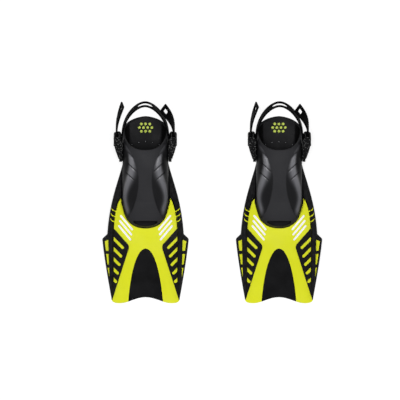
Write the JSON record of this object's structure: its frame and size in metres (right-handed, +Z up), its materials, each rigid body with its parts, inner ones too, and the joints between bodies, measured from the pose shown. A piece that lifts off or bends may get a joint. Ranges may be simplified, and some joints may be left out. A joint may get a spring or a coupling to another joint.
{
  "type": "pair of swim fins",
  "caption": "Open-heel snorkelling fins with a vented two-material blade, soft foot pocket, side rails and a swinging adjustable heel strap on quick-lock buckles.",
  "frame": {"origin": "on the floor, midway between the two fins and midway along their length with the straps", "axes": "+X across the pair from left fin to right fin, +Y from blade tips to heels, +Z up from the soles"},
  "size_m": [0.4724, 0.433, 0.1049],
  "materials": {
    "blade_plastic": "satin moulded plastic",
    "pocket_rubber": "soft matt with a sheen on the sides",
    "rail_rubber": "soft matt",
    "panel_rubber": "fine grain",
    "sole_rubber": "grained",
    "stud_rubber": "matt",
    "strap_rubber": "satin",
    "buckle_plastic": "moulded, satin",
    "lever_plastic": "moulded, satin",
    "roller_plastic": "smooth",
    "pin_steel": "plain stainless"
  },
  "bodies": {
    "left_fin": {"left_foot_pocket": "pocket_rubber", "left_sole_plate": "sole_rubber", "left_heel_studs": "stud_rubber", "left_blade": "blade_plastic", "left_centre_panel": "panel_rubber", "left_outer_rail": "rail_rubber", "left_inner_rail": "rail_rubber", "left_outer_post": "buckle_plastic", "left_inner_post": "buckle_plastic"},
    "left_strap": {"left_heel_strap": "strap_rubber", "left_outer_buckle_frame": "buckle_plastic", "left_outer_roller_pin": "pin_steel", "left_outer_lever_pin": "pin_steel", "left_inner_buckle_frame": "buckle_plastic", "left_inner_roller_pin": "pin_steel", "left_inner_lever_pin": "pin_steel"},
    "left_outer_lever": {"left_outer_lock_lever": "lever_plastic"},
    "left_outer_spool": {"left_outer_roller": "roller_plastic"},
    "left_inner_lever": {"left_inner_lock_lever": "lever_plastic"},
    "left_inner_spool": {"left_inner_roller": "roller_plastic"},
    "right_fin": {"right_foot_pocket": "pocket_rubber", "right_sole_plate": "sole_rubber", "right_heel_studs": "stud_rubber", "right_blade": "blade_plastic", "right_centre_panel": "panel_rubber", "right_outer_rail": "rail_rubber", "right_inner_rail": "rail_rubber", "right_outer_post": "buckle_plastic", "right_inner_post": "buckle_plastic"},
    "right_strap": {"right_heel_strap": "strap_rubber", "right_outer_buckle_frame": "buckle_plastic", "right_outer_roller_pin": "pin_steel", "right_outer_lever_pin": "pin_steel", "right_inner_buckle_frame": "buckle_plastic", "right_inner_roller_pin": "pin_steel", "right_inner_lever_pin": "pin_steel"},
    "right_outer_lever": {"right_outer_lock_lever": "lever_plastic"},
    "right_outer_spool": {"right_outer_roller": "roller_plastic"},
    "right_inner_lever": {"right_inner_lock_lever": "lever_plastic"},
    "right_inner_spool": {"right_inner_roller": "roller_plastic"}
  },
  "joints": [
    {"name": "left_strap_swing", "type": "hinge", "parent": "left_fin", "child": "left_strap", "pos_m": [-0.1435, 0.099, 0.038], "axis": [1, 0, 0], "range_deg": [-12, 75]},
    {"name": "left_outer_lever_lift", "type": "hinge", "parent": "left_strap", "child": "left_outer_lever", "pos_m": [-0.20875, 0.1284, 0.05298], "axis": [0, -0.454, 0.891], "range_deg": [0, 40]},
    {"name": "left_outer_roller_spin", "type": "hinge", "parent": "left_strap", "child": "left_outer_spool", "pos_m": [-0.19925, 0.11504, 0.04617], "axis": [0, -0.454, 0.891], "continuous": true},
    {"name": "left_inner_lever_lift", "type": "hinge", "parent": "left_strap", "child": "left_inner_lever", "pos_m": [-0.07825, 0.1284, 0.05298], "axis": [0, 0.454, -0.891], "range_deg": [0, 40]},
    {"name": "left_inner_roller_spin", "type": "hinge", "parent": "left_strap", "child": "left_inner_spool", "pos_m": [-0.08775, 0.11504, 0.04617], "axis": [0, -0.454, 0.891], "continuous": true},
    {"name": "right_fin_lift", "type": "slide", "parent": "left_fin", "child": "right_fin", "axis": [0, 0, 1], "range_m": [0, 0.25]},
    {"name": "right_strap_swing", "type": "hinge", "parent": "right_fin", "child": "right_strap", "pos_m": [0.1435, 0.099, 0.038], "axis": [1, 0, 0], "range_deg": [-12, 75]},
    {"name": "right_outer_lever_lift", "type": "hinge", "parent": "right_strap", "child": "right_outer_lever", "pos_m": [0.20875, 0.1284, 0.05298], "axis": [0, 0.454, -0.891], "range_deg": [0, 40]},
    {"name": "right_outer_roller_spin", "type": "hinge", "parent": "right_strap", "child": "right_outer_spool", "pos_m": [0.19925, 0.11504, 0.04617], "axis": [0, -0.454, 0.891], "continuous": true},
    {"name": "right_inner_lever_lift", "type": "hinge", "parent": "right_strap", "child": "right_inner_lever", "pos_m": [0.07825, 0.1284, 0.05298], "axis": [0, -0.454, 0.891], "range_deg": [0, 40]},
    {"name": "right_inner_roller_spin", "type": "hinge", "parent": "right_strap", "child": "right_inner_spool", "pos_m": [0.08775, 0.11504, 0.04617], "axis": [0, -0.454, 0.891], "continuous": true}
  ]
}
